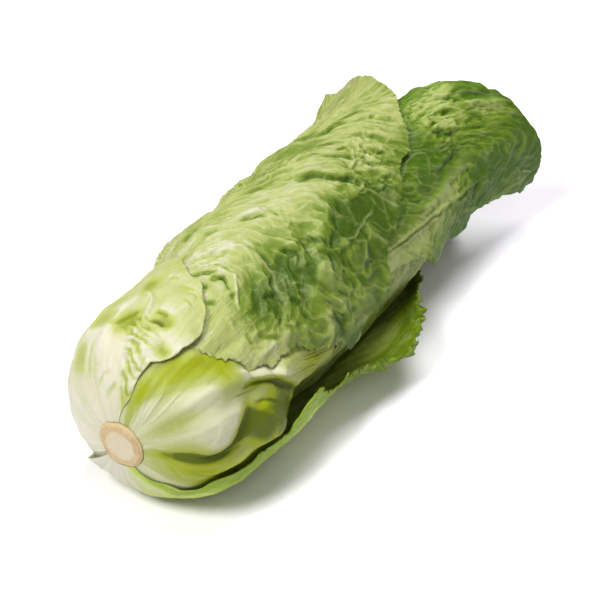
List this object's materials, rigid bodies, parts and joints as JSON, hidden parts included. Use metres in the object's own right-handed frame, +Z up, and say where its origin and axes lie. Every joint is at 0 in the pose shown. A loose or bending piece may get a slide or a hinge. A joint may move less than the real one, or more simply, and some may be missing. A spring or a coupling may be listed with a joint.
{
  "type": "sugarloaf chicory head",
  "caption": "Whole head of sugarloaf chicory lying on its side, leaves wrapped round a cut stem and core, green at the tips and white at the base.",
  "frame": {"origin": "middle of the head's box, on the surface that it lies on", "axes": "+X from the cut stem to the leaf tips, +Z up, and the flared margin of the wrapper leaf on the -Y side"},
  "size_m": [0.308, 0.1194, 0.0965],
  "materials": {
    "cut_stem": "moist cut pith, cream in the middle with a tan ring round it",
    "white_rib_leaf": "smooth white rib and veins fanning into a pale yellow-green blade, satin",
    "light_green_leaf": "crinkled light green blade with paler veins, satin",
    "deep_green_leaf": "deep green blade with paler veins, satin",
    "heart_leaf": "smooth pale yellow blanched leaf, satin"
  },
  "bodies": {
    "root": {"stem_core": "cut_stem", "wrapper_leaf": "deep_green_leaf", "left_base_leaf": "white_rib_leaf", "crown_leaf": "light_green_leaf", "right_base_leaf": "white_rib_leaf", "back_leaf": "light_green_leaf", "right_leaf": "deep_green_leaf", "under_leaf": "light_green_leaf", "back_inner_leaf": "light_green_leaf", "heart_leaf_01": "heart_leaf", "heart_leaf_02": "heart_leaf", "heart_leaf_03": "heart_leaf", "heart_leaf_04": "heart_leaf", "heart_leaf_05": "heart_leaf", "heart_leaf_06": "heart_leaf", "heart_leaf_07": "heart_leaf", "heart_leaf_08": "heart_leaf", "heart_leaf_09": "heart_leaf", "heart_leaf_10": "heart_leaf"}
  },
  "joints": []
}
